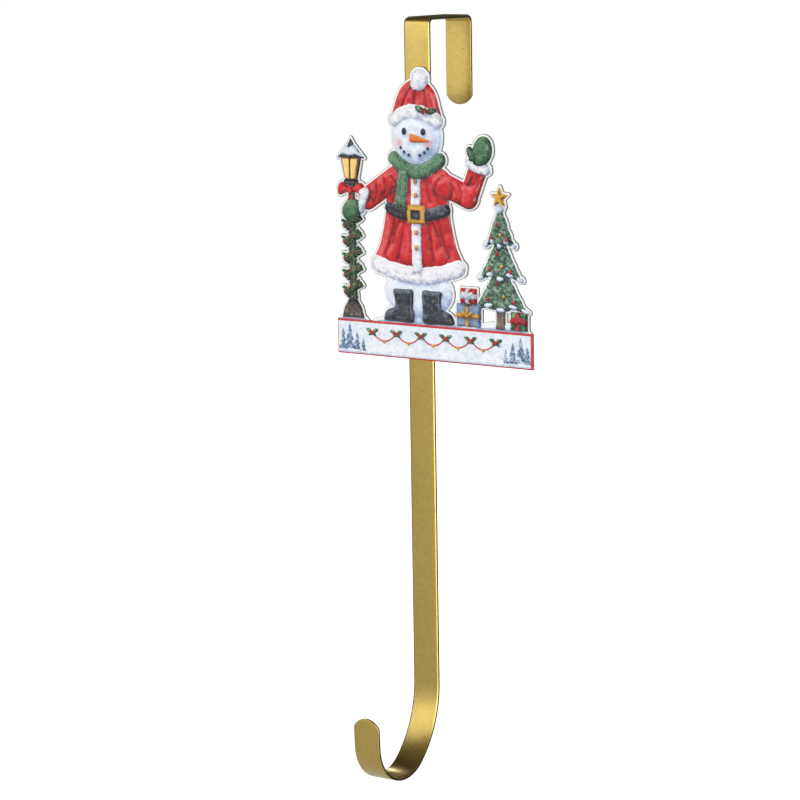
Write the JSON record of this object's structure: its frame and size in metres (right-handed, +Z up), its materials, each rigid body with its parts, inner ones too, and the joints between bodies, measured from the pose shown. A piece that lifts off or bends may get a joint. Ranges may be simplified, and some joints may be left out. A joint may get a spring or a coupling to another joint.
{
  "type": "over-the-door ornament hook",
  "caption": "Flat steel strip that hangs over the top of a door and curls forward into a deep hook, with an embossed winter plaque on its front.",
  "frame": {"origin": "middle of the underside of the bridge, where the hanger rests on the top edge of a door", "axes": "+X to the right seen from the front, +Y from the front of the door towards its back, +Z up"},
  "size_m": [0.155, 0.1153, 0.4921],
  "materials": {
    "gold_strap": "satin metallic gold coat on steel strip",
    "printed_plaque": "colour print on embossed steel sheet under clear gloss"
  },
  "bodies": {
    "root": {"hanger_strap": "gold_strap", "plaque": "printed_plaque"}
  },
  "joints": []
}
